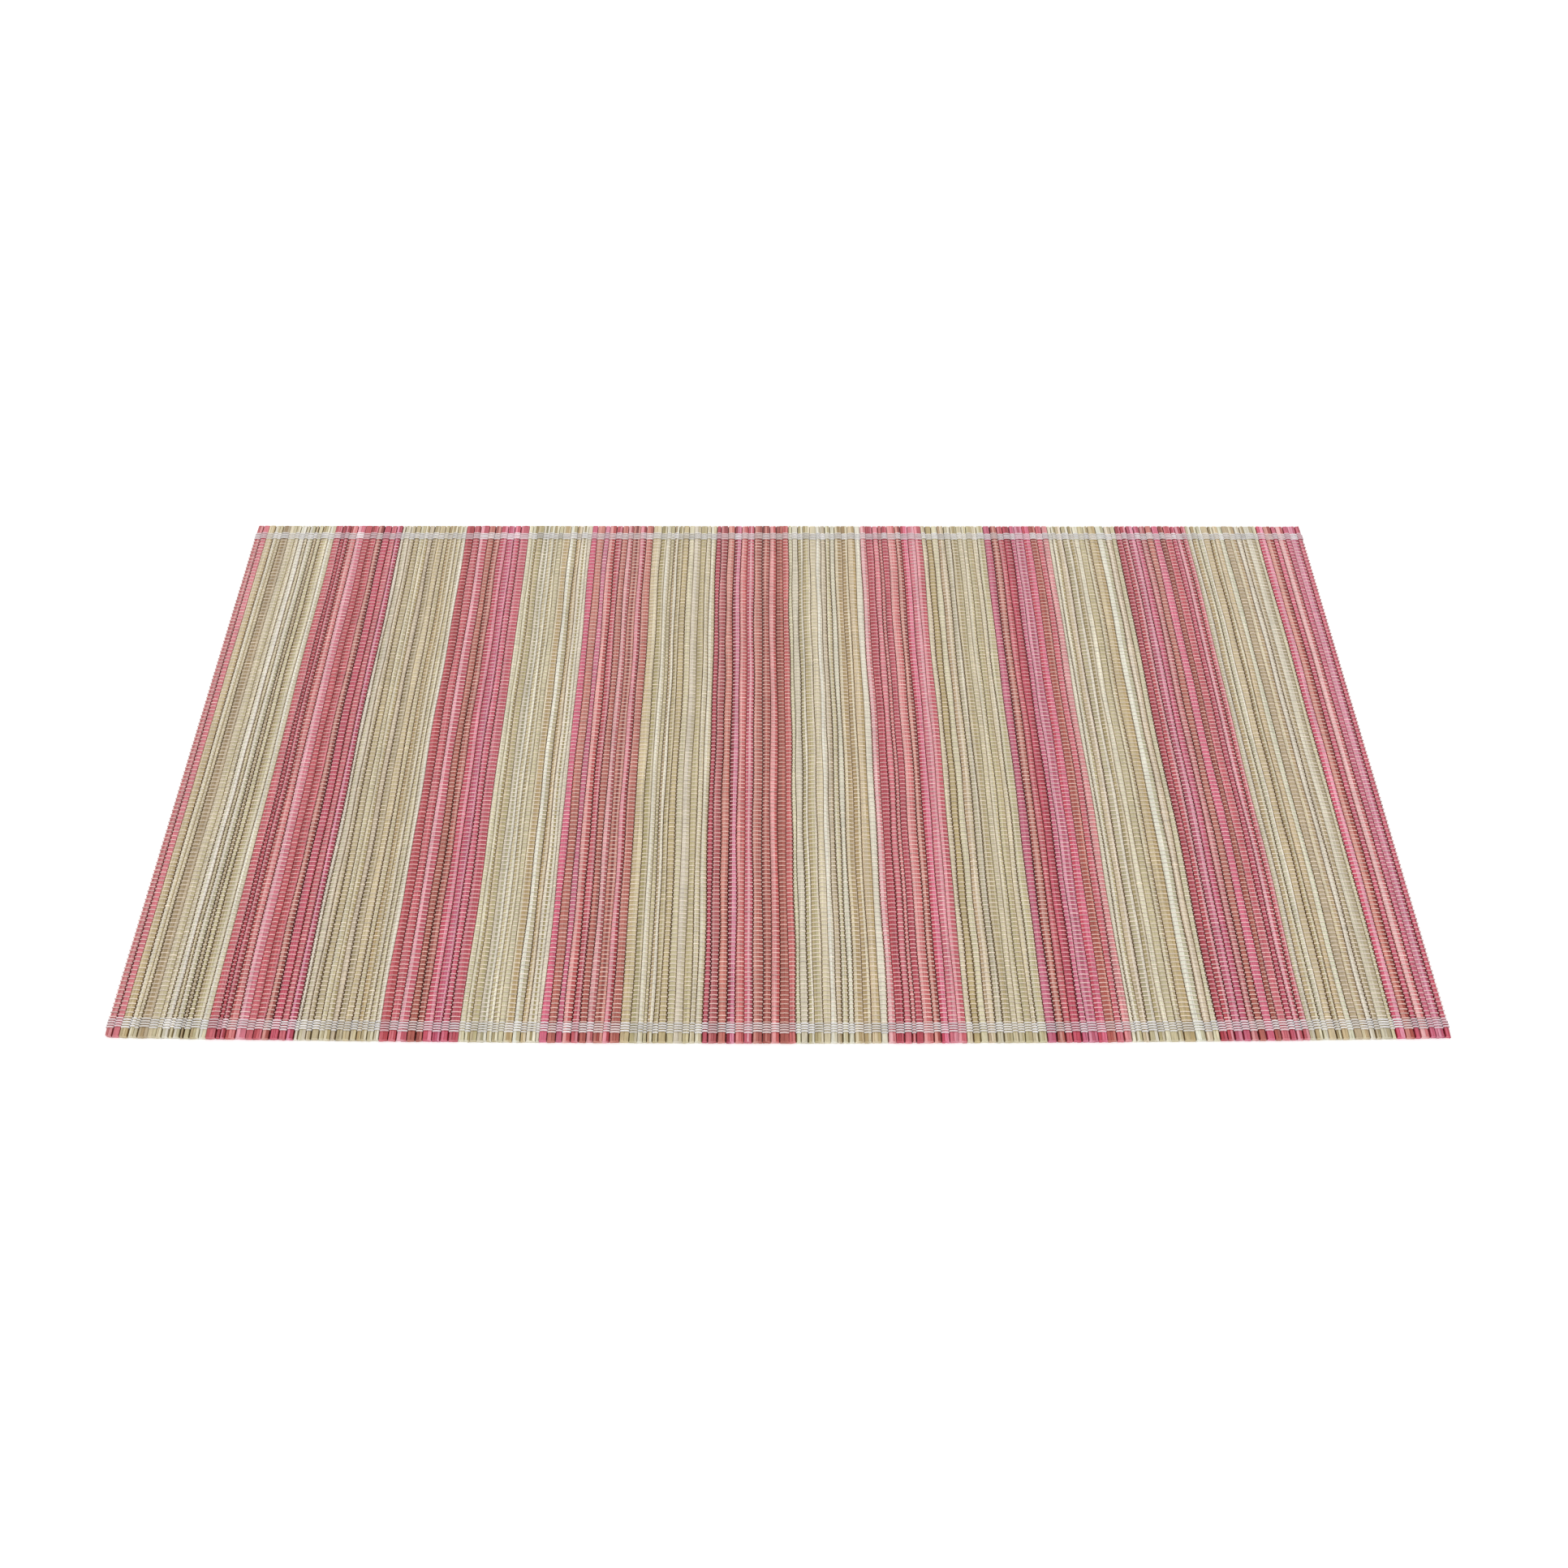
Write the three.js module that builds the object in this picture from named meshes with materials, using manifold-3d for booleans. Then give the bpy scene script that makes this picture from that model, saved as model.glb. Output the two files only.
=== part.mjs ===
// Bamboo placemat, 450 mm long and 300 mm deep, lying flat on a table.
//
// Thin bamboo splints lie side by side from front to back. Groups of splints dyed rose take turns with
// groups left natural, which gives the stripes. Each group is one ribbed solid here, with one rib for each
// bundle of splints that the threads wrap together. Near the front and back edges a band of thick white
// binding threads crosses all the groups, half of the threads above the splints and half of them below.
//
// Millimetres, +Z up. X runs along the mat and Y from front to back. The origin is on the table, under the
// middle of the mat.
import * as THREE from "three";
import { mergeVertices } from "three/addons/utils/BufferGeometryUtils.js";
import Module from "manifold-3d";

const wasm = await Module();
wasm.setup();

// Driving dimensions of the mat
const MAT_LENGTH = 450;
const MAT_DEPTH = 300;
const MAT_THICKNESS = 1.7;
const GAP = 0.3;

// Ribs: each is a flat crown between two grooves
const GROOVE_DEPTH = 0.5;
const GROOVE_HALF_WIDTH = 0.36;

// Binding threads, four above and four below the splints in each band
const THREADS_PER_SIDE = 4;
const THREAD_WIDTH = 0.85;
const THREAD_HEIGHT = 0.35;
const THREAD_PITCH = THREAD_WIDTH + GAP;
const THREAD_SHOULDER = 0.65 * (THREAD_WIDTH / 2);
const THREAD_PROUD = 0.2;
const THREAD_STEPS = 12;
const BAND_DEPTH = (THREADS_PER_SIDE - 1) * THREAD_PITCH + THREAD_WIDTH;
const FRONT_OVERHANG = 3.5;
const BACK_OVERHANG = 5.7;

// How far the laid mat is from a true rectangle: its front edge bows out in the middle, and the splints of
// its right half lean a little, to the right at the front and to the left at the back.
const FRONT_BOW = 2.5;
const LEAN = 1.8;

// The groups of splints, from left to right, with the width in millimetres of each group. The letters give
// its ribs: one for a bundle of a single splint, narrow, middling, wide, or extra wide.
const STRIPES = [
  { dye: "rose", width: 4.8, ribs: "mm" },
  { dye: "natural", width: 29.1, ribs: "wnsxwnmsmsnxm" },
  { dye: "rose", width: 29.2, ribs: "wsnwxmwmwmm" },
  { dye: "natural", width: 28.1, ribs: "smnmnnnmmnnnnn" },
  { dye: "rose", width: 26.7, ribs: "wwxmmwwmx" },
  { dye: "natural", width: 27.1, ribs: "nnmwnnnwwnws" },
  { dye: "rose", width: 26.6, ribs: "mwnwmmmwmw" },
  { dye: "natural", width: 27.5, ribs: "xmnsnnmmwmnm" },
  { dye: "rose", width: 30.9, ribs: "nwwwwwxwwwm" },
  { dye: "natural", width: 30.7, ribs: "smnwmnnnnwmwm" },
  { dye: "rose", width: 26.2, ribs: "mwmsmxmwww" },
  { dye: "natural", width: 26.9, ribs: "nmmwmwnnmnw" },
  { dye: "rose", width: 28.1, ribs: "wwmwnxwwmm" },
  { dye: "natural", width: 29.3, ribs: "snmwnnmnxxmn" },
  { dye: "rose", width: 30.4, ribs: "mmwmmmwnwnmn" },
  { dye: "natural", width: 29.8, ribs: "nmnmnnnmmnnxs" },
  { dye: "rose", width: 18.6, ribs: "wwnwnwn" },
];

// The usual width of each kind of rib. A group's ribs are pressed together or spread out to fill it.
const RIB_WIDTH = { s: 1.4, n: 1.9, m: 2.4, w: 2.9, x: 3.4 };

const MATERIALS = {
  rose: new THREE.MeshStandardMaterial({ color: 0xcb7079, roughness: 0.55, metalness: 0 }),
  natural: new THREE.MeshStandardMaterial({ color: 0xcdbf9c, roughness: 0.55, metalness: 0 }),
  thread: new THREE.MeshStandardMaterial({ color: 0xe9e4dd, roughness: 0.85, metalness: 0 }),
};

// The widths of a group's ribs, which add up to the group's width.
function ribWidths(stripe) {
  const usual = [...stripe.ribs].map((kind) => RIB_WIDTH[kind]);
  const total = usual.reduce((sum, width) => sum + width, 0);
  return usual.map((width) => (width / total) * stripe.width);
}

// Moves a point of the true rectangle to where it lies in the mat: the front bow and the lean.
function lay(point) {
  const across = point.x / MAT_LENGTH + 0.5;
  const towardsFront = 0.5 - point.y / MAT_DEPTH;
  const bow = FRONT_BOW * (1 - (2 * across - 1) ** 2) * towardsFront;
  const lean = LEAN * across * (1 - across ** 8) * (2 * towardsFront - 1);
  point.x += lean;
  point.y += FRONT_BOW / 2 - bow;
}

function layGeometry(geometry) {
  const position = geometry.attributes.position;
  const point = new THREE.Vector3();
  for (let i = 0; i < position.count; i += 1) {
    point.fromBufferAttribute(position, i);
    lay(point);
    position.setXYZ(i, point.x, point.y, point.z);
  }
}

function toSolid(geometry) {
  geometry.deleteAttribute("normal");
  geometry.deleteAttribute("uv");
  const merged = mergeVertices(geometry, 1e-4);
  return new wasm.Manifold(
    new wasm.Mesh({
      numProp: 3,
      vertProperties: new Float32Array(merged.attributes.position.array),
      triVerts: new Uint32Array(merged.index.array),
    }),
  );
}

function toGeometry(solid) {
  const mesh = solid.getMesh();
  const geometry = new THREE.BufferGeometry();
  geometry.setAttribute("position", new THREE.BufferAttribute(mesh.vertProperties, 3));
  geometry.setIndex(new THREE.BufferAttribute(mesh.triVerts, 1));
  return geometry;
}

// A group's section across the splints: flat underneath, with a crown for each rib on top.
function ribbedSection(left, widths) {
  const grooveHeight = MAT_THICKNESS - GROOVE_DEPTH;
  const right = left + widths.reduce((sum, width) => sum + width, 0);
  const section = new THREE.Shape();
  section.moveTo(left + GAP / 2, 0);
  section.lineTo(right - GAP / 2, 0);
  section.lineTo(right - GAP / 2, grooveHeight);
  let edge = right;
  for (const [index, width] of [...widths.entries()].reverse()) {
    section.lineTo(edge - GROOVE_HALF_WIDTH, MAT_THICKNESS);
    section.lineTo(edge - width + GROOVE_HALF_WIDTH, MAT_THICKNESS);
    edge -= width;
    section.lineTo(index > 0 ? edge : left + GAP / 2, grooveHeight);
  }
  section.closePath();
  return section;
}

// The room for one band's threads, above or below the splints, with a gap all round. It is cut past the
// faces of the splints.
const CUT_PAST = 1;

function threadChannel(bandCentre, low, high) {
  const length = MAT_LENGTH + CUT_PAST;
  const channel = new THREE.BoxGeometry(length, BAND_DEPTH + 2 * GAP, high - low);
  channel.translate(0, bandCentre, (low + high) / 2);
  return toSolid(channel);
}

const bandCentres = {
  front: -MAT_DEPTH / 2 + FRONT_OVERHANG + BAND_DEPTH / 2,
  back: MAT_DEPTH / 2 - BACK_OVERHANG - BAND_DEPTH / 2,
};
const topThreadLow = MAT_THICKNESS + THREAD_PROUD - THREAD_HEIGHT;

function splintGroup(stripe, left) {
  const section = ribbedSection(left, ribWidths(stripe));
  const blank = new THREE.ExtrudeGeometry(section, { depth: MAT_DEPTH, bevelEnabled: false });
  blank.rotateX(Math.PI / 2);
  blank.translate(0, MAT_DEPTH / 2, 0);
  let solid = toSolid(blank);
  for (const centre of Object.values(bandCentres)) {
    solid = solid.subtract(threadChannel(centre, topThreadLow - GAP, MAT_THICKNESS + CUT_PAST));
    solid = solid.subtract(threadChannel(centre, -CUT_PAST, THREAD_HEIGHT + GAP));
  }
  const geometry = toGeometry(solid);
  layGeometry(geometry);
  return geometry;
}

// One binding thread: a flattened strand along the whole mat, which follows the bow of the edge.
function bindingThread(centre, low) {
  const half = THREAD_WIDTH / 2;
  const section = new THREE.Shape([
    new THREE.Vector2(-THREAD_SHOULDER, 0),
    new THREE.Vector2(THREAD_SHOULDER, 0),
    new THREE.Vector2(half, THREAD_HEIGHT / 2),
    new THREE.Vector2(THREAD_SHOULDER, THREAD_HEIGHT),
    new THREE.Vector2(-THREAD_SHOULDER, THREAD_HEIGHT),
    new THREE.Vector2(-half, THREAD_HEIGHT / 2),
  ]);
  const geometry = new THREE.ExtrudeGeometry(section, {
    depth: MAT_LENGTH,
    steps: THREAD_STEPS,
    bevelEnabled: false,
  });
  const alongY = new THREE.Vector3(0, 1, 0);
  const alongZ = new THREE.Vector3(0, 0, 1);
  const alongX = new THREE.Vector3(1, 0, 0);
  geometry.applyMatrix4(new THREE.Matrix4().makeBasis(alongY, alongZ, alongX));
  geometry.translate(-MAT_LENGTH / 2, centre, low);
  layGeometry(geometry);
  return geometry;
}

function named(name, geometry, material) {
  geometry.computeVertexNormals();
  const mesh = new THREE.Mesh(geometry, material);
  mesh.name = name;
  return mesh;
}

const placemat = new THREE.Group();

const groups = new THREE.Group();
const count = { rose: 0, natural: 0 };
let left = -MAT_LENGTH / 2;
for (const stripe of STRIPES) {
  count[stripe.dye] += 1;
  const geometry = splintGroup(stripe, left);
  const centre = left + stripe.width / 2;
  geometry.translate(-centre, 0, 0);
  const mesh = named(`${stripe.dye}_splints_${count[stripe.dye]}`, geometry, MATERIALS[stripe.dye]);
  mesh.position.x = centre;
  groups.add(mesh);
  left += stripe.width;
}
placemat.add(groups);

const threads = new THREE.Group();
for (const [band, bandCentre] of Object.entries(bandCentres)) {
  for (let thread = 0; thread < THREADS_PER_SIDE; thread += 1) {
    const centre = bandCentre + (thread - (THREADS_PER_SIDE - 1) / 2) * THREAD_PITCH;
    const above = bindingThread(centre, topThreadLow);
    const below = bindingThread(centre, 0);
    threads.add(named(`${band}_thread_above_${thread + 1}`, above, MATERIALS.thread));
    threads.add(named(`${band}_thread_below_${thread + 1}`, below, MATERIALS.thread));
  }
}
placemat.add(threads);

export default placemat;
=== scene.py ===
import math

import bpy
import numpy as np
from mathutils import Matrix


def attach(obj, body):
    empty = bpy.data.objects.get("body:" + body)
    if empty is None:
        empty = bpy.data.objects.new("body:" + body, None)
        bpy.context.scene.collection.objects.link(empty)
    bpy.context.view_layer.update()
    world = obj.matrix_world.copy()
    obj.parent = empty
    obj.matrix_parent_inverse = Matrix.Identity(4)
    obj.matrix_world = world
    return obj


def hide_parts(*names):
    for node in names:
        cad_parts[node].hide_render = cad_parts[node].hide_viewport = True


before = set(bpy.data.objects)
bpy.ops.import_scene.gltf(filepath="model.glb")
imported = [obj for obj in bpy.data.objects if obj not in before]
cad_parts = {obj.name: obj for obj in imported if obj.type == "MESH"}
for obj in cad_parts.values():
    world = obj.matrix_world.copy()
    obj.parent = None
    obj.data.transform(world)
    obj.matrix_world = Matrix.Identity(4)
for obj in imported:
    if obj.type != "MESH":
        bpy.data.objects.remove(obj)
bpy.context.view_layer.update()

# The camera
# It stands in front of the middle of the long side, looks down at the mat at about 41 degrees, and has a
# lens a little longer than normal. It is turned and rolled by less than a tenth of a degree.
CAMERA_PLACE = (0.00101, -0.67757, 0.56675)
CAMERA_DOWN = 40.69
CAMERA_TURN = -0.091
CAMERA_ROLL = 0.091
CAMERA_LENS = 52.92
CAMERA_SENSOR = 36.0
NEAREST_SEEN = 0.01
FARTHEST_SEEN = 50.0

camera_data = bpy.data.cameras.new("camera")
camera_data.lens = CAMERA_LENS
camera_data.sensor_width = CAMERA_SENSOR
camera_data.clip_start = NEAREST_SEEN
camera_data.clip_end = FARTHEST_SEEN
camera = bpy.data.objects.new("camera", camera_data)
bpy.context.collection.objects.link(camera)
camera.matrix_world = (
    Matrix.Translation(CAMERA_PLACE)
    @ Matrix.Rotation(math.radians(CAMERA_TURN), 4, "Z")
    @ Matrix.Rotation(math.radians(90 - CAMERA_DOWN), 4, "X")
    @ Matrix.Rotation(math.radians(CAMERA_ROLL), 4, "Z")
)
bpy.context.scene.camera = camera

# The groups of bamboo splints
# Thin splints, split from bamboo cane and dyed rose or left natural, lie side by side from front to back.
# The weaving threads bundle one to three of them into a rib, and the splints of a rib lie so close that
# only a shallow groove shows between them.

# Lengths are in millimetres, as a maker gives them, apart from those of the camera and the table.
MM = 0.001
MAT_LENGTH = 450.0
MAT_DEPTH = 300.0

# How far the laid mat is from a true rectangle: the front edge bows out in the middle, and the splints lean
# more and more from left to right, but for those at the right edge itself.
FRONT_BOW = 2.5
LEAN = 1.8
LEAN_END = 8

# One row for each group: its node, its width, the letters of its ribs (a single splint, narrow, middling,
# wide, extra wide) and the shade of each rib.
STRIPES = [
    ("rose_splints_1", 4.8, "mm", "dusty rose"),
    ("natural_splints_1", 29.1, "wnsxwnmsmsnxm",
     "gold cream cream tan straw cream pale straw sage tan straw straw pale"),
    ("rose_splints_2", 29.2, "wsnwxmwmwmm",
     "rose crimson crimson salmon pink rose rose brick raspberry rose magenta"),
    ("natural_splints_2", 28.1, "smnmnnnmmnnnnn",
     "pale sage tan straw cream straw sage tan gold cream gold straw cream pale"),
    ("rose_splints_3", 26.7, "wwxmmwwmx",
     "rose rose pink brick brick raspberry magenta raspberry crimson"),
    ("natural_splints_3", 27.1, "nnmwnnnwwnws",
     "cream straw straw sage cream straw cream gold pale gold cream pale"),
    ("rose_splints_4", 26.6, "mwnwmmmwmw",
     "cerise brick mauve salmon rose brick dusty brick rose brick"),
    ("natural_splints_4", 27.5, "xmnsnnmmwmnm",
     "gold straw pale straw cream straw gold straw sage straw cream cream"),
    ("rose_splints_5", 30.9, "nwwwwwxwwwm",
     "crimson dusty clay magenta salmon pink brick brick salmon brick salmon"),
    ("natural_splints_5", 30.7, "smnwmnnnnwmwm",
     "cream sage cream straw cream pale tan cream pale gold gold gold pale"),
    ("rose_splints_6", 26.2, "mwmsmxmwww",
     "blush crimson rose blush crimson salmon clay cerise pink rose"),
    ("natural_splints_6", 26.9, "nmmwmwnnmnw",
     "cream gold cream peach sage straw cream straw straw cream straw"),
    ("rose_splints_7", 28.1, "wwmwnxwwmm",
     "mauve brick rose raspberry magenta mauve cerise clay rose blush"),
    ("natural_splints_7", 29.3, "snmwnnmnxxmn",
     "pale cream peach sage straw cream straw straw gold pale peach cream"),
    ("rose_splints_8", 30.4, "mmwmmmwnwnmn",
     "crimson rose mauve magenta dusty brick cerise brick rose raspberry pink rose"),
    ("natural_splints_8", 29.8, "nmnmnnnmmnnxs",
     "sage straw pale gold straw gold pale tan gold pale tan sage cream"),
    ("rose_splints_9", 18.6, "wwnwnwn",
     "cerise clay raspberry blush magenta mauve raspberry"),
]

# The usual width of each kind of rib, and how many splints it has. Some ribs have one splint fewer, and a
# rib's splints share its width unevenly.
RIB_WIDTH = {"s": 1.4, "n": 1.9, "m": 2.4, "w": 2.9, "x": 3.4}
SPLINTS_IN_RIB = {"s": 1, "n": 2, "m": 2, "w": 3, "x": 3}
CHANCE_OF_ONE_FEWER = 0.3
SPLINT_SHARES = (0.75, 1.25)

# Bamboo takes dye unevenly, and undyed cane runs from nearly white pith to golden skin.
SHADES = {
    "rose": "#C25E68",
    "salmon": "#C66A68",
    "dusty": "#BC6E70",
    "crimson": "#AE404E",
    "raspberry": "#C05064",
    "magenta": "#BE546E",
    "cerise": "#CE5E78",
    "pink": "#CA6E7C",
    "blush": "#D08688",
    "mauve": "#BC5C74",
    "brick": "#AA5A4E",
    "clay": "#B8665A",
    "straw": "#BEB18C",
    "cream": "#CABF9F",
    "gold": "#BDA981",
    "tan": "#B4A382",
    "pale": "#D0C9B2",
    "sage": "#C1B79C",
    "peach": "#C8B698",
}

# How much the colour varies between splints, between ribs and along a splint, as the power that it is
# raised to: over 1 is deeper, under 1 is paler. A rib may drift deeper or paler from front to back. Towards
# the back the splints differ more from each other, a painted sheen that lightens some and deepens others,
# and all are painted a little paler there, also a painted sheen.
SPLINT_UNEVEN = {"rose": 0.40, "natural": 0.46}
RIB_UNEVEN = {"rose": 0.12, "natural": 0.08}
ALONG_UNEVEN = 0.05
ALONG_WAVES = (60.0, 220.0)
SECOND_WAVE = 0.6
RIB_DRIFT = 0.12
MORE_AT_BACK = 0.75
PALER_AT_BACK = 0.05
PALEST = 0.62
DEEPEST = 2.1
HUE_UNEVEN = 0.015
PATTERN_SEEDS = 60

# What is added to that power as painted shade between two ribs, a little less so at the back, and as
# painted shade under the binding threads. The depth is where the painted shade is full. The cut ends are
# painted a little paler than the sides, partly the paler cut cane and partly painted light on the upright
# end faces.
CREVICE_SHADE_POWER = {"rose": 2.2, "natural": 2.0}
CREVICE_FADE = 0.2
CREVICE_DEPTH = 0.6
BAND_SHADE_POWER = 0.5
END_FACE_POWER = 0.8

# A rib's section: the height of its crown, which varies a little, of its underside and of its feet, which
# reach towards the next rib. The splints' lower corners are drawn in.
RIB_TOP = 1.40
RIB_TOP_SPREAD = 0.04
RIB_TOP_LIMIT = 0.08
SPLINT_LOW = 0.34
FOOT_HEIGHT = 0.62
LOWER_INSET = 0.10

# The threads press a rib round, so it is more arched between them than at its bare ends. Its upper corners
# have a width and a drop, and the last three values round them off, as shares of the two.
WOVEN_RIB = {"arch": 0.17, "corner": 0.18, "drop": 0.16, "groove": 0.07}
BARE_RIB = {"arch": 0.05, "corner": 0.10, "drop": 0.08, "groove": 0.12}
GROOVE_HALF_WIDTH = 0.07
CORNER_IN = 0.3
CORNER_DOWN = 0.7
SIDE_DOWN = 2.2

# The three gaps that come between two ribs, and how often each does beside a rose and a natural rib. A gap
# opens at the bare ends and is closer at the back, and the ribs' feet all but meet in it.
RIB_GAPS = (0.06, 0.24, 0.48)
GAP_CHANCES = {"rose": (0.15, 0.35, 0.50), "natural": (0.35, 0.37, 0.28)}
BARE_OPENING = 0.22
CLOSER_AT_BACK = 0.35
FOOT_GAP = 0.02

# The line between two ribs wavers on its own, in waves of its own length, and drifts with its neighbours.
# The outermost lines are straight.
WAVER = 0.16
WAVER_WAVES = (45.0, 110.0)
DRIFT = 0.35
DRIFT_ACROSS = (31.0, 83.0)
DRIFT_ALONG = (52.0, 37.0)
DRIFT_START = 1.0
STRAIGHT_SIDES = 12

# The splints' ends are uneven and droop to the table, and the front left corner is worn.
END_UNEVEN = 0.12
END_DROOP = 0.26
CORNER_WEAR = 0.9

# Where the two bands of binding threads cross the splints, and how sharply the painted shade under them
# begins.
FRONT_BAND_INSET = 5.75
BACK_BAND_INSET = 7.9
FRONT_BAND = -MAT_DEPTH / 2 + FRONT_BAND_INSET
BACK_BAND = MAT_DEPTH / 2 - BACK_BAND_INSET
BAND_HALF = 2.2
SHADE_EDGE = 0.2

# The stations along a splint at which its section is worked out: some at each band, and even steps between
# the bands. The first and the last three have the bare section.
WOVEN_STEPS = 24
BARE_STATIONS = 3
front_outer, front_inner = FRONT_BAND - BAND_HALF, FRONT_BAND + BAND_HALF
back_inner, back_outer = BACK_BAND - BAND_HALF, BACK_BAND + BAND_HALF
stations = np.concatenate([
    [-MAT_DEPTH / 2, front_outer, front_outer + SHADE_EDGE, front_inner],
    np.linspace(front_inner + SHADE_EDGE, back_inner - SHADE_EDGE, WOVEN_STEPS + 1),
    [back_inner, back_outer - SHADE_EDGE, back_outer, MAT_DEPTH / 2],
])
station_count = len(stations)
to_back = stations / MAT_DEPTH + 0.5
bare = np.zeros(station_count)
bare[:BARE_STATIONS] = 1
bare[-BARE_STATIONS:] = 1
# The stations under the bands, where the splints get a painted shade.
under_band = np.zeros(station_count)
under_band[[BARE_STATIONS - 1, BARE_STATIONS, -BARE_STATIONS - 1, -BARE_STATIONS]] = 1

rng = np.random.default_rng(11)


def linear(hex_colour):
    parts = np.array([int(hex_colour[i:i + 2], 16) for i in (1, 3, 5)]) / 255
    return np.where(parts <= 0.04045, parts / 12.92, ((parts + 0.055) / 1.055) ** 2.4)


def lay(x, y):
    """Where a point of the true rectangle lies in the laid mat."""
    across = x / MAT_LENGTH + 0.5
    to_front = 0.5 - y / MAT_DEPTH
    bow = FRONT_BOW * (1 - (2 * across - 1) ** 2) * to_front
    lean = LEAN * across * (1 - across ** LEAN_END) * (2 * to_front - 1)
    return x + lean, y + FRONT_BOW / 2 - bow


def rib_widths(width, letters):
    usual = np.array([RIB_WIDTH[letter] for letter in letters])
    return usual / usual.sum() * width


all_widths = np.concatenate([rib_widths(width, letters) for _, width, letters, _ in STRIPES])
rib_lines = -MAT_LENGTH / 2 + np.concatenate([[0], np.cumsum(all_widths)])
rib_count = len(all_widths)
rib_tops = RIB_TOP + rng.normal(0, RIB_TOP_SPREAD, rib_count).clip(-RIB_TOP_LIMIT, RIB_TOP_LIMIT)
line_phase = rng.uniform(0, 2 * math.pi, rib_count + 1)
line_wave = rng.uniform(*WAVER_WAVES, rib_count + 1)
rib_dyes = [node.split("_")[0] for node, _, letters, _ in STRIPES for _ in letters]
rib_gaps = np.array([rng.choice(RIB_GAPS, p=GAP_CHANCES[dye]) for dye in rib_dyes + ["rose"]])
bare_gaps = rib_gaps + rng.uniform(0, BARE_OPENING, rib_count + 1)


def rib_line(index, y):
    """Where the line between two ribs runs."""
    base = rib_lines[index]
    own = WAVER * np.sin(2 * math.pi * y / line_wave[index] + line_phase[index])
    shared = DRIFT * np.sin(base / DRIFT_ACROSS[0] + y / DRIFT_ALONG[0])
    shared = shared * np.sin(base / DRIFT_ACROSS[1] - y / DRIFT_ALONG[1] + DRIFT_START)
    at_side = 1 - (np.abs(base) / (MAT_LENGTH / 2)) ** STRAIGHT_SIDES
    return base + (own + shared) * at_side


def splint_edges(letter):
    """Where the splints of a rib begin and end, as shares of its width."""
    number = SPLINTS_IN_RIB[letter]
    if number > 1 and rng.random() < CHANCE_OF_ONE_FEWER:
        number -= 1
    shares = rng.uniform(*SPLINT_SHARES, number)
    return np.concatenate([[0], np.cumsum(shares)]) / shares.sum()


def splint_colours(shade, dye, number):
    """The colour of each splint of a rib at every station."""
    spread = rng.normal(0, SPLINT_UNEVEN[dye], number)
    spread += rng.normal(0, RIB_UNEVEN[dye]) - spread.mean()
    hue = 1 + rng.normal(0, HUE_UNEVEN, (number, 3))
    wave = rng.uniform(*ALONG_WAVES, (number, 2))
    phase = rng.uniform(0, 2 * math.pi, (number, 2))
    turn = 2 * math.pi * stations / wave[:, :, None] + phase[:, :, None]
    along = ALONG_UNEVEN * (np.sin(turn[:, 0]) + SECOND_WAVE * np.sin(turn[:, 1]))
    # Painted sheen: the spread grows towards the back, and all splints are painted paler there.
    drift = rng.normal(0, RIB_DRIFT) * to_back - PALER_AT_BACK * to_back ** 2
    power = 1 + spread[:, None] * (1 + MORE_AT_BACK * to_back) + along + drift
    power = power.clip(PALEST, DEEPEST)
    return (linear(SHADES[shade]) * hue)[None] ** power.T[:, :, None]


def rib_outline(width, top, edges, left_foot, right_foot):
    """A rib's section at every station, round from its left foot.

    For each point of it: which splint it is on, its place across, its height, and how deep it is in the
    painted shade.
    """
    arch, corner, drop, groove = [
        WOVEN_RIB[key] + (BARE_RIB[key] - WOVEN_RIB[key]) * bare
        for key in ("arch", "corner", "drop", "groove")
    ]
    last = len(edges) - 2
    zero = np.zeros(station_count)

    def crown(place):
        return top - arch * (2 * place / width - 1) ** 2

    rows = [
        (0, zero - left_foot, zero + FOOT_HEIGHT),
        (0, zero, crown(zero) - SIDE_DOWN * drop),
        (0, CORNER_IN * corner, crown(zero) - CORNER_DOWN * drop),
    ]
    for i in range(last + 1):
        left = edges[i] * width + (corner if i == 0 else GROOVE_HALF_WIDTH)
        right = edges[i + 1] * width - (corner if i == last else GROOVE_HALF_WIDTH)
        for place in (left, (left + right) / 2, right):
            rows.append((i, place, crown(place)))
        if i < last:
            place = edges[i + 1] * width
            rows.append((i, place, crown(place) - groove))
    rows += [
        (last, width - CORNER_IN * corner, crown(width) - CORNER_DOWN * drop),
        (last, width, crown(width) - SIDE_DOWN * drop),
        (last, width + right_foot, zero + FOOT_HEIGHT),
    ]
    for i in reversed(range(last + 1)):
        rows.append((i, edges[i + 1] * width - LOWER_INSET, zero + SPLINT_LOW))
        rows.append((i, edges[i] * width + LOWER_INSET, zero + SPLINT_LOW))
        if i > 0:
            rows.append((i - 1, edges[i] * width, SPLINT_LOW + groove))
    owner = np.array([row[0] for row in rows])
    place = np.stack([row[1] for row in rows], axis=1)
    height = np.stack([row[2] for row in rows], axis=1)
    depth = ((crown(place.T).T - height) / CREVICE_DEPTH).clip(0, 1)
    depth[height < FOOT_HEIGHT] = 0
    return owner, place, height, depth


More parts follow.
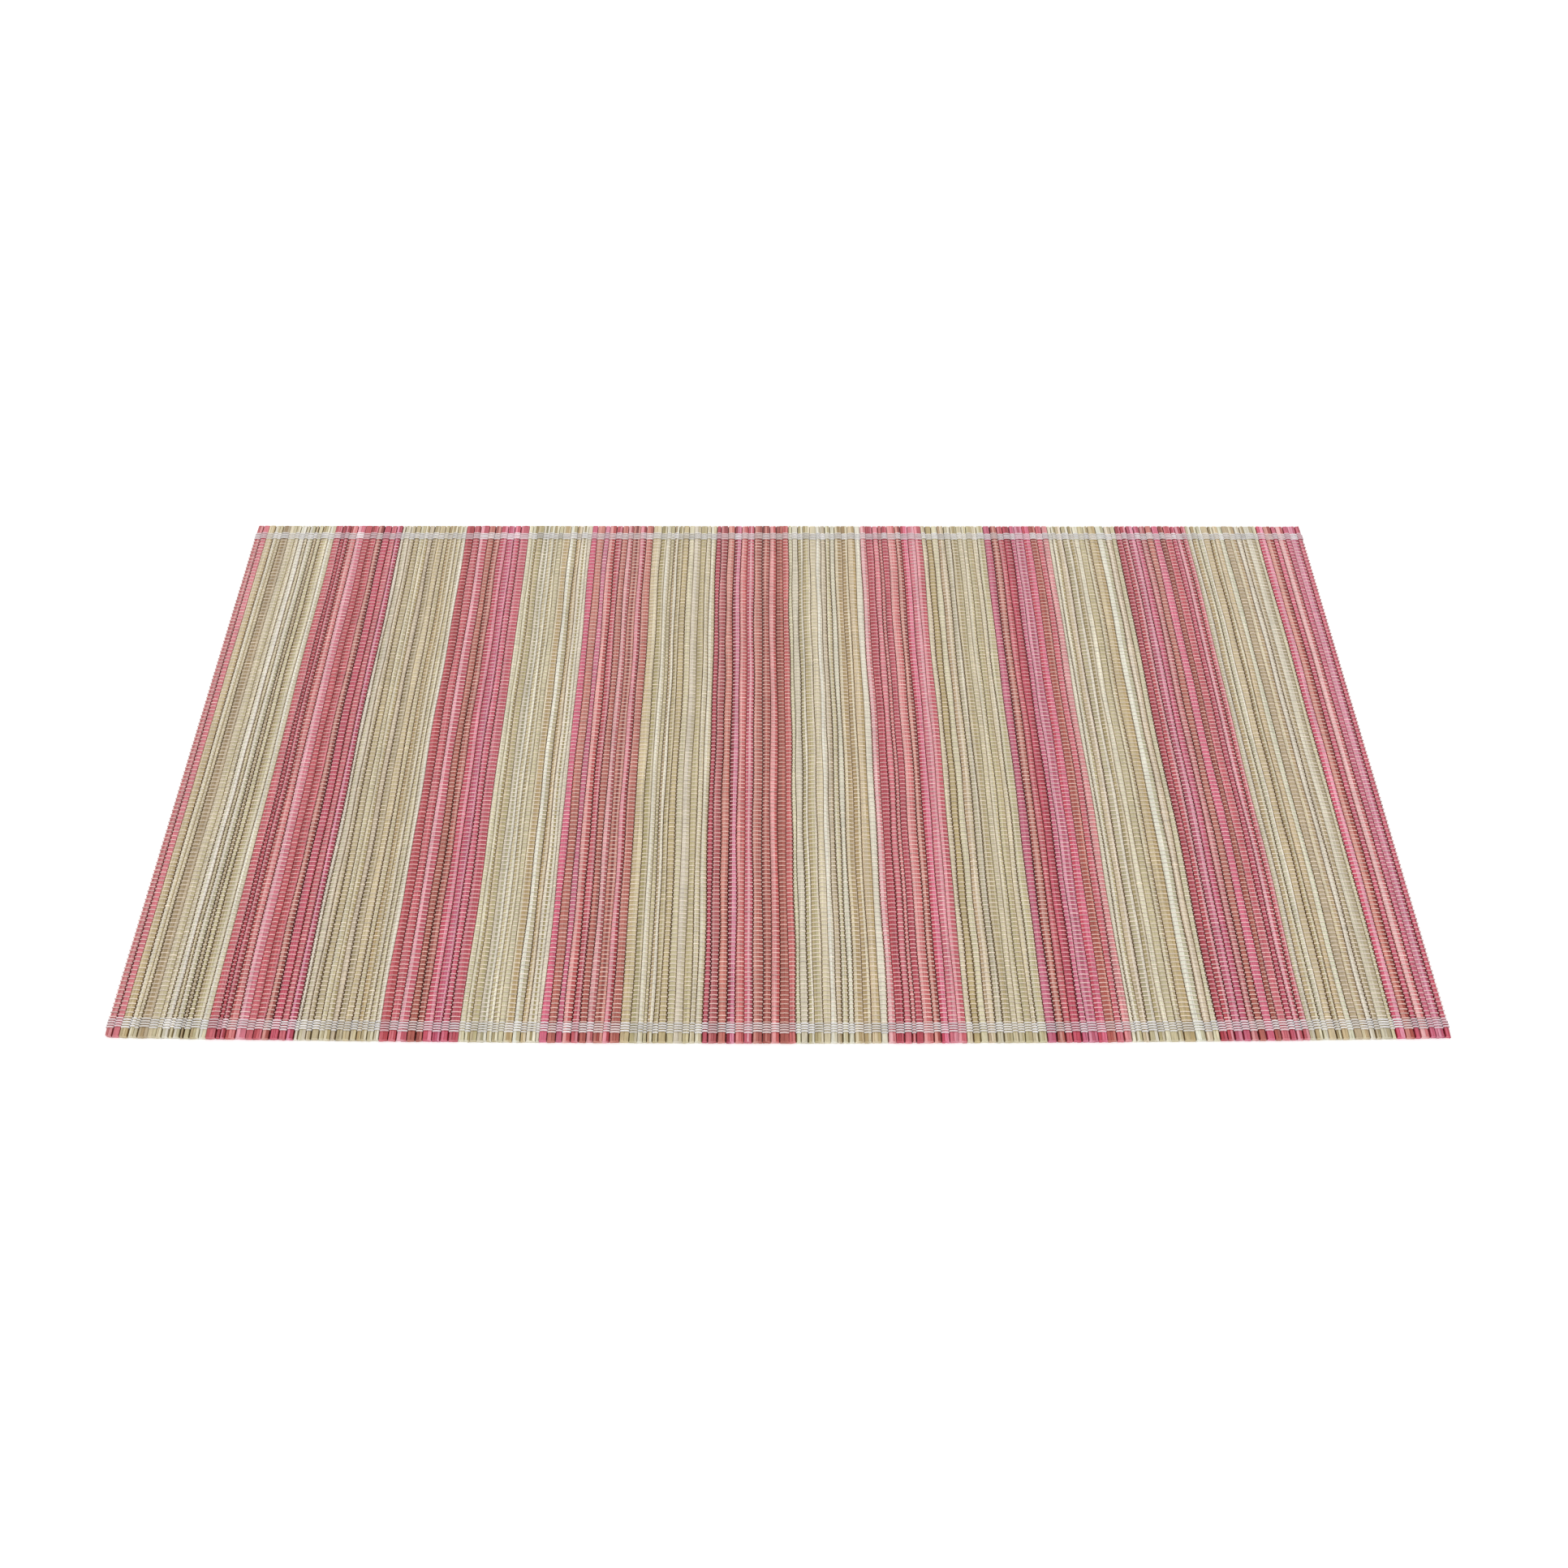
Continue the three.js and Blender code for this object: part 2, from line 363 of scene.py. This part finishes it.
def rib_rings(rib, edges):
    """A ring of points round a rib at each station, with what its colouring and its UV map need."""
    left_gap, right_gap = [
        np.where(bare, bare_gaps[line], rib_gaps[line]) * (1 - CLOSER_AT_BACK * to_back) / 2
        for line in (rib, rib + 1)
    ]
    left = rib_line(rib, stations) + left_gap
    width = rib_line(rib + 1, stations) - right_gap - left
    left_foot = left_gap - FOOT_GAP / 2
    right_foot = right_gap - FOOT_GAP / 2
    owner, place, height, depth = rib_outline(width, rib_tops[rib], edges, left_foot, right_foot)
    number = len(edges) - 1
    y = np.repeat(stations[:, None], len(owner), axis=1)
    y[0] += rng.uniform(-END_UNEVEN, END_UNEVEN, number)[owner]
    y[-1] += rng.uniform(-END_UNEVEN, END_UNEVEN, number)[owner]
    if rib == 0:
        y[0] += CORNER_WEAR * (1 - place[0] / width[0]).clip(0, 1) ** 2
    height[0] -= END_DROOP
    height[-1] -= END_DROOP / 2
    x, y = lay(left[:, None] + place, y)
    return np.stack([x, y, height], axis=-1), owner, place, depth


def skin(ids):
    """The four-sided faces between each ring of points and the next."""
    after = np.roll(ids, -1, axis=1)
    return np.stack([ids[:-1], after[:-1], after[1:], ids[1:]], axis=-1).reshape(-1, 4).tolist()


def skin_spots(from_round, to_round, along):
    """The UV place of every corner of those faces: how far round its ring, and how far along."""
    rings = len(along) - 1
    sides = len(from_round)
    start_round = np.repeat(from_round[None], rings, axis=0)
    end_round = np.repeat(to_round[None], rings, axis=0)
    start_along = np.repeat(along[:-1, None], sides, axis=1)
    end_along = np.repeat(along[1:, None], sides, axis=1)
    corners = [
        start_round, start_along, end_round, start_along,
        end_round, end_along, start_round, end_along,
    ]
    return np.stack(corners, axis=-1).reshape(-1, 2)


def new_piece(name, points, faces, material, smooth_angle):
    mesh = bpy.data.meshes.new(name)
    mesh.from_pydata(points * MM, [], faces, shade_flat=False)
    mesh.set_sharp_from_angle(angle=math.radians(smooth_angle))
    mesh.materials.append(material)
    piece = bpy.data.objects.new(name, mesh)
    bpy.context.collection.objects.link(piece)
    return piece


def paint(mesh, attribute, values):
    """Gives every corner of the mesh a colour or a number that its material reads by name."""
    if values.ndim == 2:
        layer = mesh.attributes.new(attribute, "FLOAT_COLOR", "CORNER")
        full = np.concatenate([values, np.ones((len(values), 1))], axis=1)
        layer.data.foreach_set("color", full.astype(np.float32).ravel())
    else:
        layer = mesh.attributes.new(attribute, "FLOAT", "CORNER")
        layer.data.foreach_set("value", values.astype(np.float32))


def map_corners(mesh, spots):
    layer = mesh.uv_layers.new(name="OFBake")
    layer.data.foreach_set("uv", spots.astype(np.float32).ravel())


def add_node(material, kind, settings, sockets):
    node = material.node_tree.nodes.new(kind)
    for key, value in settings.items():
        setattr(node, key, value)
    for key, value in sockets.items():
        if isinstance(value, bpy.types.NodeSocket):
            material.node_tree.links.new(value, node.inputs[key])
        else:
            node.inputs[key].default_value = value
    return node


def new_material(name):
    material = bpy.data.materials.new(name)
    material.use_nodes = True
    material.node_tree.nodes.clear()
    return material


# Split bamboo: satin, with fibres that run the length of each splint. The real fibres are about a tenth of
# a millimetre wide, and are drawn three times as coarse, so that they show. In patches a few centimetres
# long the cane took the dye or the sun differently, so it is a little lighter or darker there.
bamboo = new_material("split_bamboo_satin")
FIBRE_WIDTH = 0.3
FIBRE_LENGTH = 26.0
FIBRE_RELIEF = 0.06
PATCH_WIDTH = 1.6
PATCH_LENGTH = 34.0
NOISE_SPAN = {"From Min": 0.3, "From Max": 0.7}
place = add_node(bamboo, "ShaderNodeTexCoord", {}, {}).outputs["Object"]
shade = add_node(bamboo, "ShaderNodeAttribute", {"attribute_name": "shade"}, {}).outputs["Color"]
seed = add_node(bamboo, "ShaderNodeAttribute", {"attribute_name": "seed"}, {}).outputs["Fac"]
fibre_place = add_node(bamboo, "ShaderNodeMapping", {}, {
    "Vector": place,
    "Scale": (1 / (FIBRE_WIDTH * MM), 1 / (FIBRE_LENGTH * MM), 1 / (FIBRE_WIDTH * MM)),
}).outputs[0]
fibres = add_node(bamboo, "ShaderNodeTexNoise", {"noise_dimensions": "4D"}, {
    "Vector": fibre_place, "W": seed, "Scale": 1.0, "Detail": 2.0, "Roughness": 0.55,
}).outputs["Fac"]
patch_place = add_node(bamboo, "ShaderNodeMapping", {}, {
    "Vector": place,
    "Scale": (1 / (PATCH_WIDTH * MM), 1 / (PATCH_LENGTH * MM), 1 / (PATCH_WIDTH * MM)),
}).outputs[0]
patches = add_node(bamboo, "ShaderNodeTexNoise", {"noise_dimensions": "4D"}, {
    "Vector": patch_place, "W": seed, "Scale": 1.0, "Detail": 2.0, "Roughness": 0.5,
}).outputs["Fac"]
fibre_tone = add_node(bamboo, "ShaderNodeMapRange", {}, {
    "Value": fibres, **NOISE_SPAN, "To Min": 0.76, "To Max": 1.20,
}).outputs[0]
patch_tone = add_node(bamboo, "ShaderNodeMapRange", {}, {
    "Value": patches, **NOISE_SPAN, "To Min": 0.86, "To Max": 1.10,
}).outputs[0]
tone = add_node(bamboo, "ShaderNodeMath", {"operation": "MULTIPLY"}, {
    0: fibre_tone, 1: patch_tone,
}).outputs[0]
toned = add_node(bamboo, "ShaderNodeVectorMath", {"operation": "SCALE"}, {
    "Vector": shade, "Scale": tone,
}).outputs[0]
gloss = add_node(bamboo, "ShaderNodeMapRange", {}, {
    "Value": fibres, **NOISE_SPAN, "To Min": 0.62, "To Max": 0.48,
}).outputs[0]
relief = add_node(bamboo, "ShaderNodeBump", {}, {
    "Height": fibres, "Strength": 0.5, "Distance": FIBRE_RELIEF * MM,
}).outputs[0]
surface = add_node(bamboo, "ShaderNodeBsdfPrincipled", {}, {
    "Base Color": toned, "Roughness": gloss, "Normal": relief, "IOR": 1.5,
}).outputs[0]
add_node(bamboo, "ShaderNodeOutputMaterial", {}, {"Surface": surface})

# In a group's UV map each rib's sides have a strip, and its two end faces have a spot before and after it.
STRIP_GAP = 0.5
SPOT_GAP = 2.0
MAP_MARGIN = 4.0
SPLINT_CREASE = 50

rib_colour = np.zeros((rib_count, station_count, 3))
rib = 0
for node, group_width, letters, shades in STRIPES:
    dye = node.split("_")[0]
    points, faces, face_shade, face_seed, face_spots = [], [], [], [], []
    start = 0
    strip = 0.0
    for letter, shade in zip(letters, shades.split()):
        edges = splint_edges(letter)
        number = len(edges) - 1
        colour = splint_colours(shade, dye, number)
        rib_colour[rib] = colour.mean(axis=1)
        splint_seed = rng.uniform(0, PATTERN_SEEDS, number)
        rings, owner, place, depth = rib_rings(rib, edges)
        points.append(rings.reshape(-1, 3))

        size = len(owner)
        ids = start + np.arange(station_count * size).reshape(station_count, size)
        faces += skin(ids)
        # Painted shade: the splints' colour is deepened between two ribs and under the binding threads.
        crevice_shade = CREVICE_SHADE_POWER[dye] * (1 - CREVICE_FADE * to_back)[:, None] * depth
        colour_power = (1 + crevice_shade + BAND_SHADE_POWER * under_band[:, None])[:, :, None]
        tint = colour[:, owner] ** colour_power
        tint_after = colour[:, owner] ** np.roll(colour_power, -1, axis=1)
        corner_tint = np.stack([tint[:-1], tint_after[:-1], tint_after[1:], tint[1:]], axis=2)
        face_shade.append(corner_tint.reshape(-1, 3))
        face_seed.append(np.tile(np.repeat(splint_seed[owner], 4), station_count - 1))
        first_woven = rings[BARE_STATIONS]
        girth = np.linalg.norm(first_woven - np.roll(first_woven, -1, axis=0), axis=1)
        reach = strip + np.concatenate([[0], np.cumsum(girth)])
        face_spots.append(skin_spots(reach[:-1], reach[1:], stations))
        for end, way in ((0, -1), (-1, 1)):
            faces.append(ids[end][::way].tolist())
            # The cut ends are painted paler, partly the paler cut cane and partly painted light on the
            # upright end faces.
            face_shade.append(colour[end, owner][::way] ** END_FACE_POWER)
            face_seed.append(splint_seed[owner][::way])
            beyond = way * (MAT_DEPTH / 2 + SPOT_GAP + rings[end, :, 2])
            face_spots.append(np.stack([strip + place[end], beyond], axis=1)[::way])
        start += size * station_count
        strip = reach[-1] + STRIP_GAP
        rib += 1

    name = node.replace("splints", "bamboo")
    piece = new_piece(name, np.concatenate(points), faces, bamboo, SPLINT_CREASE)
    paint(piece.data, "shade", np.concatenate(face_shade))
    paint(piece.data, "seed", np.concatenate(face_seed))
    spots = np.concatenate(face_spots)
    spots[:, 0] /= strip
    spots[:, 1] = (spots[:, 1] + MAT_DEPTH / 2 + MAP_MARGIN) / (MAT_DEPTH + 2 * MAP_MARGIN)
    map_corners(piece.data, spots)
    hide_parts(node)
    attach(piece, "root")

# The weaving threads
# Fine cotton threads run along the whole mat, about 250 of them, and weave it together: each passes over
# one rib and under the next, and its neighbours do the opposite. At the mat's sides each turns back.

# The rows lie a little closer together towards the front.
THREAD_ROWS = 252
FIRST_ROW = -141.6
LAST_ROW = 138.9
ROW_SPREAD = 0.016
ROWS_IN_PIECE = 63

# A thread's flattened section, the height of its middle under a rib and above a rib's crown, and how far
# from the rib's edge it bends down over the rib and back up under the next.
THREAD_HALF_WIDTH = 0.29
THREAD_HALF_HEIGHT = 0.17
THREAD_SIDES = 3
THREAD_LOW = 0.18
THREAD_LIFT = 0.04
SHOULDER = 0.12
DIVE = 0.03

# How uneven a row is: each stitch lies a little off it, and the whole row sways.
STITCH_UNEVEN = 0.055
SWAY = 0.1
SWAY_TURNS = (0.9, 0.37)
SWAY_START = 0.3
SWAY_LENGTH = 40.0

# The splints' tint is painted into the cotton, as light that shows through it, and under a rib more deeply
# still, a painted shade; each stitch has a lightness of its own.
SHOW_THROUGH = 0.22
BURIED_SHADE_POWER = 0.25
STITCH_TONES = 0.08
rib_shade = rib_colour.mean(axis=1)

# The turn at the mat's side, one row for each point: how far out from the rib's edge it is, how far on the
# way to the neighbour's row, and how high.
EDGE_TURN = [
    (0.16, 0.25, 1.02),
    (0.20, 0.65, 0.62),
    (-0.06, 1.00, 0.26),
]


def woven_path(y_row, first_over, low, lift, shoulder, jitter):
    """The path of one thread: three points over a rib, two under the next, and so on.

    Also the rib at each point, and how much of the rib's colour the thread has there.
    """
    path, owner, colour_power = [], [], []
    over = (np.arange(rib_count) % 2 == 0) == first_over
    left = rib_line(np.arange(rib_count), y_row)
    right = rib_line(np.arange(1, rib_count + 1), y_row)
    for i in range(rib_count):
        inset = shoulder if over[i] else DIVE
        a = left[i] + inset
        b = right[i] - inset
        if over[i]:
            y = y_row + jitter[i]
            top = rib_tops[i] + lift
            side = top - WOVEN_RIB["arch"] * (1 - 2 * shoulder / (right[i] - left[i])) ** 2
            path += [(a, y, side), ((a + b) / 2, y, top), (b, y, side)]
            owner += [i, i, i]
            colour_power += [SHOW_THROUGH] * 3
        else:
            path += [(a, y_row, low), (b, y_row, low)]
            owner += [i, i]
            # Under a rib the thread is painted deeper, a painted shade.
            colour_power += [SHOW_THROUGH + BURIED_SHADE_POWER] * 2
    return np.array(path), np.array(owner), np.array(colour_power)


def turn_at_sides(path, owner, colour_power, left_y, right_y):
    """Adds the turns in which a thread goes round the outermost ribs to its neighbours' rows."""
    turn_colour_power = [SHOW_THROUGH] * len(EDGE_TURN)
    for end, way, next_y in ((0, -1, left_y), (-1, 1, right_y)):
        x, y, z = path[end]
        if z < RIB_TOP / 2 or next_y is None:
            continue
        rib_edge = x + way * SHOULDER
        turn = np.array([
            (rib_edge + way * out, y + share * (next_y - y), height) for out, share, height in EDGE_TURN
        ])
        turn_owner = [owner[end]] * len(EDGE_TURN)
        if end == 0:
            path = np.concatenate([turn[::-1], path])
            owner = np.concatenate([turn_owner, owner])
            colour_power = np.concatenate([turn_colour_power, colour_power])
        else:
            path = np.concatenate([path, turn])
            owner = np.concatenate([owner, turn_owner])
            colour_power = np.concatenate([colour_power, turn_colour_power])
    return path, owner, colour_power


def woven_thread(rows, row, low, lift, shoulder, jitter, sway):
    """The whole path of one thread of a set, with its sway and its turns."""
    path, owner, colour_power = woven_path(rows[row], row % 2 == 0, low, lift, shoulder, jitter)
    path[:, 1] += sway * np.sin(path[:, 0] / SWAY_LENGTH + row)
    left_row = row + (1 if row % 2 == 0 else -1)
    right_row = 2 * row - left_row
    right_y = rows[right_row] if 0 <= right_row < len(rows) else None
    return turn_at_sides(path, owner, colour_power, rows[left_row], right_y)


def tube_rings(path, half_width, half_height, sides):
    """Rings of points round a path that runs along the mat, with a flat side on top."""
    step = np.gradient(path, axis=0)
    run = np.hypot(step[:, 0], step[:, 2])
    up_x, up_z = -step[:, 2] / run, step[:, 0] / run
    angle = math.pi / 2 + math.pi * (2 * np.arange(sides) + 1) / sides
    out = np.cos(angle) * half_width
    up = np.sin(angle) * half_height
    rings = np.repeat(path[:, None, :], sides, axis=1)
    rings[:, :, 0] += up_x[:, None] * up
    rings[:, :, 1] += out
    rings[:, :, 2] += up_z[:, None] * up
    return rings


# In the UV map of a piece of threads each thread has a strip from side to side, with a small spot at either
# end of it for the end faces.
STRIP_MARGIN = 0.01
STRIP_FILL = 0.9
SPOT_HALF_LENGTH = 0.002
SPOT_HALF_WIDTH = 0.2
ALL_SMOOTH = 180


def tubes_piece(name, tubes, colours, material):
    """One piece of many tubes, each closed at its ends, with a tint for each point along it."""
    points, faces, shades, spots = [], [], [], []
    start = 0
    for row, (rings, colour) in enumerate(zip(tubes, colours)):
        count, sides = rings.shape[:2]
        ids = start + np.arange(count * sides).reshape(count, sides)
        faces += skin(ids)
        x, y = lay(rings[:, :, 0], rings[:, :, 1])
        points.append(np.stack([x, y, rings[:, :, 2]], axis=-1).reshape(-1, 3))
        steps = np.linalg.norm(np.diff(rings.mean(axis=1), axis=0), axis=1)
        length = np.concatenate([[0], np.cumsum(steps)])
        along = STRIP_MARGIN + (1 - 2 * STRIP_MARGIN) * length / length[-1]
        low = (row + STRIP_FILL * np.arange(sides) / sides) / len(tubes)
        high = (row + STRIP_FILL * (np.arange(sides) + 1) / sides) / len(tubes)
        spots.append(skin_spots(low, high, along)[:, ::-1])
        corner_shade = np.stack([colour[:-1], colour[:-1], colour[1:], colour[1:]], axis=1)
        shades.append(np.repeat(corner_shade[:, None], sides, axis=1).reshape(-1, 3))
        turn = 2 * math.pi * np.arange(sides) / sides
        spot_across = (row + STRIP_FILL / 2 + SPOT_HALF_WIDTH * np.sin(turn)) / len(tubes)
        ends = ((ids[0][::-1], 0, STRIP_MARGIN / 2), (ids[-1], -1, 1 - STRIP_MARGIN / 2))
        for ring, end, middle in ends:
            faces.append(ring.tolist())
            spots.append(np.stack([middle + SPOT_HALF_LENGTH * np.cos(turn), spot_across], axis=1))
            shades.append(np.repeat(colour[end][None], sides, axis=0))
        start += count * sides
    piece = new_piece(name, np.concatenate(points), faces, material, ALL_SMOOTH)
    paint(piece.data, "shade", np.concatenate(shades))
    map_corners(piece.data, np.concatenate(spots))
    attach(piece, "root")
    return piece


# Spun cotton: matt and nearly white, with a fine ripple from its twist, and lighter and darker lengths where
# it was spun unevenly. Half way down between two ribs it is painted darker and deeper, a painted shade,
# less and less so from the core of that painted shade to where it ends.
cotton = new_material("spun_cotton_matt")
TWIST_LENGTH = 0.8
TWIST_RELIEF = 0.05
SLUB_LENGTH = 5.5
SHADE_MIDDLE = 0.80
SHADE_CORE = 0.25
DARK_REACH = 0.55
DARKEST = 0.70
DEEP_REACH = 0.60
DEEPEST_POWER = 4.2
# The bands of a wave texture come this many times in a unit of length.
WAVES_IN_UNIT = 10 / (2 * math.pi)
place = add_node(cotton, "ShaderNodeTexCoord", {}, {}).outputs["Object"]
shade = add_node(cotton, "ShaderNodeAttribute", {"attribute_name": "shade"}, {}).outputs["Color"]
ply = add_node(cotton, "ShaderNodeTexWave", {"wave_type": "BANDS", "bands_direction": "DIAGONAL"}, {
    "Vector": place, "Scale": 1 / (TWIST_LENGTH * MM * WAVES_IN_UNIT), "Distortion": 1.5, "Detail": 2.0,
    "Detail Scale": 2.0,
}).outputs["Fac"]
slub = add_node(cotton, "ShaderNodeTexNoise", {}, {
    "Vector": place, "Scale": 1 / (SLUB_LENGTH * MM), "Detail": 2.0, "Roughness": 0.6,
}).outputs["Fac"]
ply_tone = add_node(cotton, "ShaderNodeMapRange", {}, {
    "Value": ply, "To Min": 0.88, "To Max": 1.03,
}).outputs[0]
slub_tone = add_node(cotton, "ShaderNodeMapRange", {}, {
    "Value": slub, **NOISE_SPAN, "To Min": 0.92, "To Max": 1.05,
}).outputs[0]
# Painted shade: the colour is darkened and deepened by height, most at the middle height between two ribs.
height = add_node(cotton, "ShaderNodeSeparateXYZ", {}, {"Vector": place}).outputs["Z"]
above_middle = add_node(cotton, "ShaderNodeMath", {"operation": "SUBTRACT"}, {
    0: height, 1: SHADE_MIDDLE * MM,
}).outputs[0]
from_middle = add_node(cotton, "ShaderNodeMath", {"operation": "ABSOLUTE"}, {0: above_middle}).outputs[0]
shade_tone = add_node(cotton, "ShaderNodeMapRange", {}, {
    "Value": from_middle, "From Min": SHADE_CORE * MM, "From Max": DARK_REACH * MM,
    "To Min": DARKEST, "To Max": 1.0,
}).outputs[0]
shade_power = add_node(cotton, "ShaderNodeMapRange", {}, {
    "Value": from_middle, "From Min": SHADE_CORE * MM, "From Max": DEEP_REACH * MM,
    "To Min": DEEPEST_POWER, "To Max": 1.0,
}).outputs[0]
thread_tone = add_node(cotton, "ShaderNodeMath", {"operation": "MULTIPLY"}, {
    0: ply_tone, 1: slub_tone,
}).outputs[0]
tone = add_node(cotton, "ShaderNodeMath", {"operation": "MULTIPLY"}, {
    0: thread_tone, 1: shade_tone,
}).outputs[0]
deepened = add_node(cotton, "ShaderNodeGamma", {}, {"Color": shade, "Gamma": shade_power}).outputs[0]
toned = add_node(cotton, "ShaderNodeVectorMath", {"operation": "SCALE"}, {
    "Vector": deepened, "Scale": tone,
}).outputs[0]
relief = add_node(cotton, "ShaderNodeBump", {}, {
    "Height": ply, "Strength": 0.6, "Distance": TWIST_RELIEF * MM,
}).outputs[0]
surface = add_node(cotton, "ShaderNodeBsdfPrincipled", {}, {
    "Base Color": toned, "Roughness": 0.85, "Normal": relief, "IOR": 1.5,
    "Specular IOR Level": 0.3, "Sheen Weight": 0.12, "Sheen Roughness": 0.5,
}).outputs[0]
add_node(cotton, "ShaderNodeOutputMaterial", {}, {"Surface": surface})

WEAVING_COTTON = linear("#F8EDE4")
even = np.linspace(0, 1, THREAD_ROWS)
thread_rows = FIRST_ROW + (LAST_ROW - FIRST_ROW) * (even - ROW_SPREAD * 4 * even * (1 - even))

tubes, tints, thread_pieces = [], [], []
for row in range(THREAD_ROWS):
    jitter = rng.normal(0, STITCH_UNEVEN, rib_count)
    sway = SWAY * np.sin(row * SWAY_TURNS[0] + SWAY_START) * np.sin(row * SWAY_TURNS[1])
    path, owner, colour_power = woven_thread(thread_rows, row, THREAD_LOW, THREAD_LIFT, SHOULDER, jitter, sway)
    tubes.append(tube_rings(path, THREAD_HALF_WIDTH, THREAD_HALF_HEIGHT, THREAD_SIDES))
    light = (1 + rng.normal(0, STITCH_TONES, rib_count))[owner, None]
    # The splints' tint painted into the cotton, deeper under a rib as painted shade.
    tints.append(WEAVING_COTTON * light * rib_shade[owner] ** colour_power[:, None])
for first in range(0, THREAD_ROWS, ROWS_IN_PIECE):
    rows = slice(first, first + ROWS_IN_PIECE)
    name = f"weaving_threads_{first // ROWS_IN_PIECE + 1}"
    thread_pieces.append(tubes_piece(name, tubes[rows], tints[rows], cotton))

# The binding threads
# Eight thick white cotton threads in a band near the front edge, and eight near the back edge, keep the
# splints from slipping out. They are woven as the fine threads are, but packed side by side, and each column
# of their stitches has more or less of its rib's tint painted in, as light that shows through, with a
# painted shade under each rib.
BINDING_THREADS = 8
BINDING_PITCH = 0.58
BINDING_HALF_WIDTH = 0.35
BINDING_HALF_HEIGHT = 0.27
BINDING_SIDES = 5
BINDING_LOW = 0.28
BINDING_LIFT = 0.15
BINDING_SHOULDER = 0.22
BINDING_UNEVEN = 0.03
BINDING_SHOW_THROUGH = (0.02, 0.20)
COLUMN_TONES = 0.07
BINDING_COTTON = linear("#EBE9EA")
THREADS_PER_SIDE = 4

for band, middle in (("front", FRONT_BAND), ("back", BACK_BAND)):
    band_rows = middle + (np.arange(BINDING_THREADS) - (BINDING_THREADS - 1) / 2) * BINDING_PITCH
    tubes, tints = [], []
    column_light = 1 + rng.normal(0, COLUMN_TONES, rib_count)
    column_show_through = rng.uniform(*BINDING_SHOW_THROUGH, rib_count)
    for row in range(BINDING_THREADS):
        jitter = rng.normal(0, BINDING_UNEVEN, rib_count)
        path, owner, colour_power = woven_thread(
            band_rows, row, BINDING_LOW, BINDING_LIFT, BINDING_SHOULDER, jitter, 0,
        )
        tubes.append(tube_rings(path, BINDING_HALF_WIDTH, BINDING_HALF_HEIGHT, BINDING_SIDES))
        # Each column's painted tint of its rib, keeping the painted shade under a rib.
        colour_power += column_show_through[owner] - SHOW_THROUGH
        tints.append(BINDING_COTTON * column_light[owner, None] * rib_shade[owner] ** colour_power[:, None])
    piece = tubes_piece(f"{band}_binding_threads", tubes, tints, cotton)
    nodes = [
        f"{band}_thread_{side}_{i + 1}" for side in ("above", "below") for i in range(THREADS_PER_SIDE)
    ]
    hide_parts(*nodes)
    thread_pieces.append(piece)

# The table and the light
# A white table top, lit a little from within as photographers' tables are, so that it stays white round the
# mat. The light is soft: a pale room, lighter beyond the mat, and a broad lamp above and in front.

# In metres, so that its edge is far off in every view.
TABLE_HALF = 40.0
TABLE_GLOW = 0.16
table_mesh = bpy.data.meshes.new("table_top")
table_mesh.from_pydata(
    [(-TABLE_HALF, -TABLE_HALF, 0), (TABLE_HALF, -TABLE_HALF, 0),
     (TABLE_HALF, TABLE_HALF, 0), (-TABLE_HALF, TABLE_HALF, 0)],
    [], [(0, 1, 2, 3)],
)
table = bpy.data.objects.new("table_top", table_mesh)
bpy.context.collection.objects.link(table)

# Opal acrylic: white and matt, with no sheen, so that the mat isn't mirrored in it.
acrylic = new_material("white_acrylic_matt")
surface = add_node(acrylic, "ShaderNodeBsdfPrincipled", {}, {
    "Base Color": (*linear("#F7F7F7"), 1), "Roughness": 0.9, "Emission Color": (*linear("#FFFFFF"), 1),
    "Emission Strength": TABLE_GLOW,
}).outputs[0]
add_node(acrylic, "ShaderNodeOutputMaterial", {}, {"Surface": surface})
table_mesh.materials.append(acrylic)

# The room's light, and how far a direction must point to the back, out of 1, for it to begin to grow and to
# be full.
ROOM_LIGHT = 0.79
FAR_LIGHT = 2.45
FAR_BEGINS = 0.55
FAR_FULL = 0.95
world = bpy.data.worlds.new("studio")
world.use_nodes = True
direction = add_node(world, "ShaderNodeTexCoord", {}, {}).outputs["Generated"]
towards_back = add_node(world, "ShaderNodeSeparateXYZ", {}, {"Vector": direction}).outputs["Y"]
strength = add_node(world, "ShaderNodeMapRange", {"interpolation_type": "SMOOTHSTEP"}, {
    "Value": towards_back, "From Min": FAR_BEGINS, "From Max": FAR_FULL,
    "To Min": ROOM_LIGHT, "To Max": FAR_LIGHT,
}).outputs[0]
background = world.node_tree.nodes["Background"]
background.inputs["Color"].default_value = (*linear("#FFFFFF"), 1)
world.node_tree.links.new(strength, background.inputs["Strength"])
bpy.context.scene.world = world

LAMP_LIGHT = 0.8
LAMP_SPREAD = 60
LAMP_FORWARD = 30
LAMP_ASIDE = -8
lamp_data = bpy.data.lights.new("broad_lamp", "SUN")
lamp_data.energy = LAMP_LIGHT
lamp_data.angle = math.radians(LAMP_SPREAD)
lamp = bpy.data.objects.new("broad_lamp", lamp_data)
bpy.context.collection.objects.link(lamp)
lamp.rotation_euler = (math.radians(LAMP_FORWARD), math.radians(LAMP_ASIDE), 0)

bpy.context.scene.view_settings.view_transform = "Standard"
bpy.context.scene.view_settings.look = "None"
